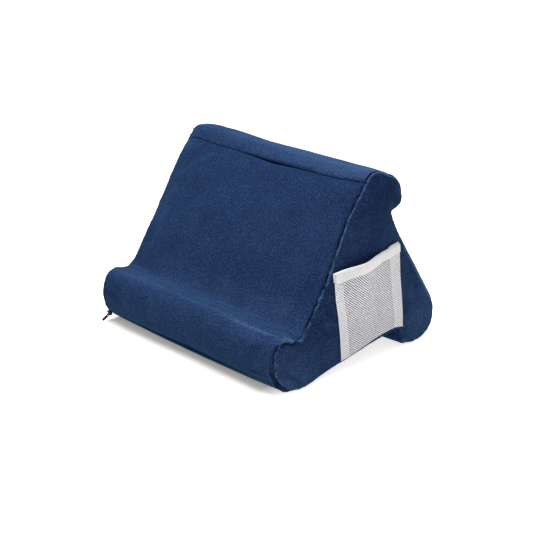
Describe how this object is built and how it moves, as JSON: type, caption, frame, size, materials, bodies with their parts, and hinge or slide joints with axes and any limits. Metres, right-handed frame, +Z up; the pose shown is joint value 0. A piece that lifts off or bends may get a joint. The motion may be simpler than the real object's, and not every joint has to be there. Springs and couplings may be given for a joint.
{
  "type": "tablet pillow stand",
  "caption": "Foam-filled plush wedge that props up a tablet or book: sloping front over a grooved ledge, rolled lip, top and rear foot, net pocket on one end, hidden zip.",
  "frame": {"origin": "bottom centre of the stand's box, on the table", "axes": "+X along the stand towards the end with the pocket, +Y from the ledge at the front to the back, +Z up"},
  "size_m": [0.2908, 0.2442, 0.2013],
  "materials": {
    "plush": "short-pile navy plush",
    "net": "white warp-knit net",
    "tape": "off-white woven tape",
    "zip": "black enamel, satin"
  },
  "bodies": {
    "root": {"cushion": "plush", "pocket_mesh": "net", "pocket_binding": "tape", "zip_slider": "zip", "zip_pull": "zip"}
  },
  "joints": []
}
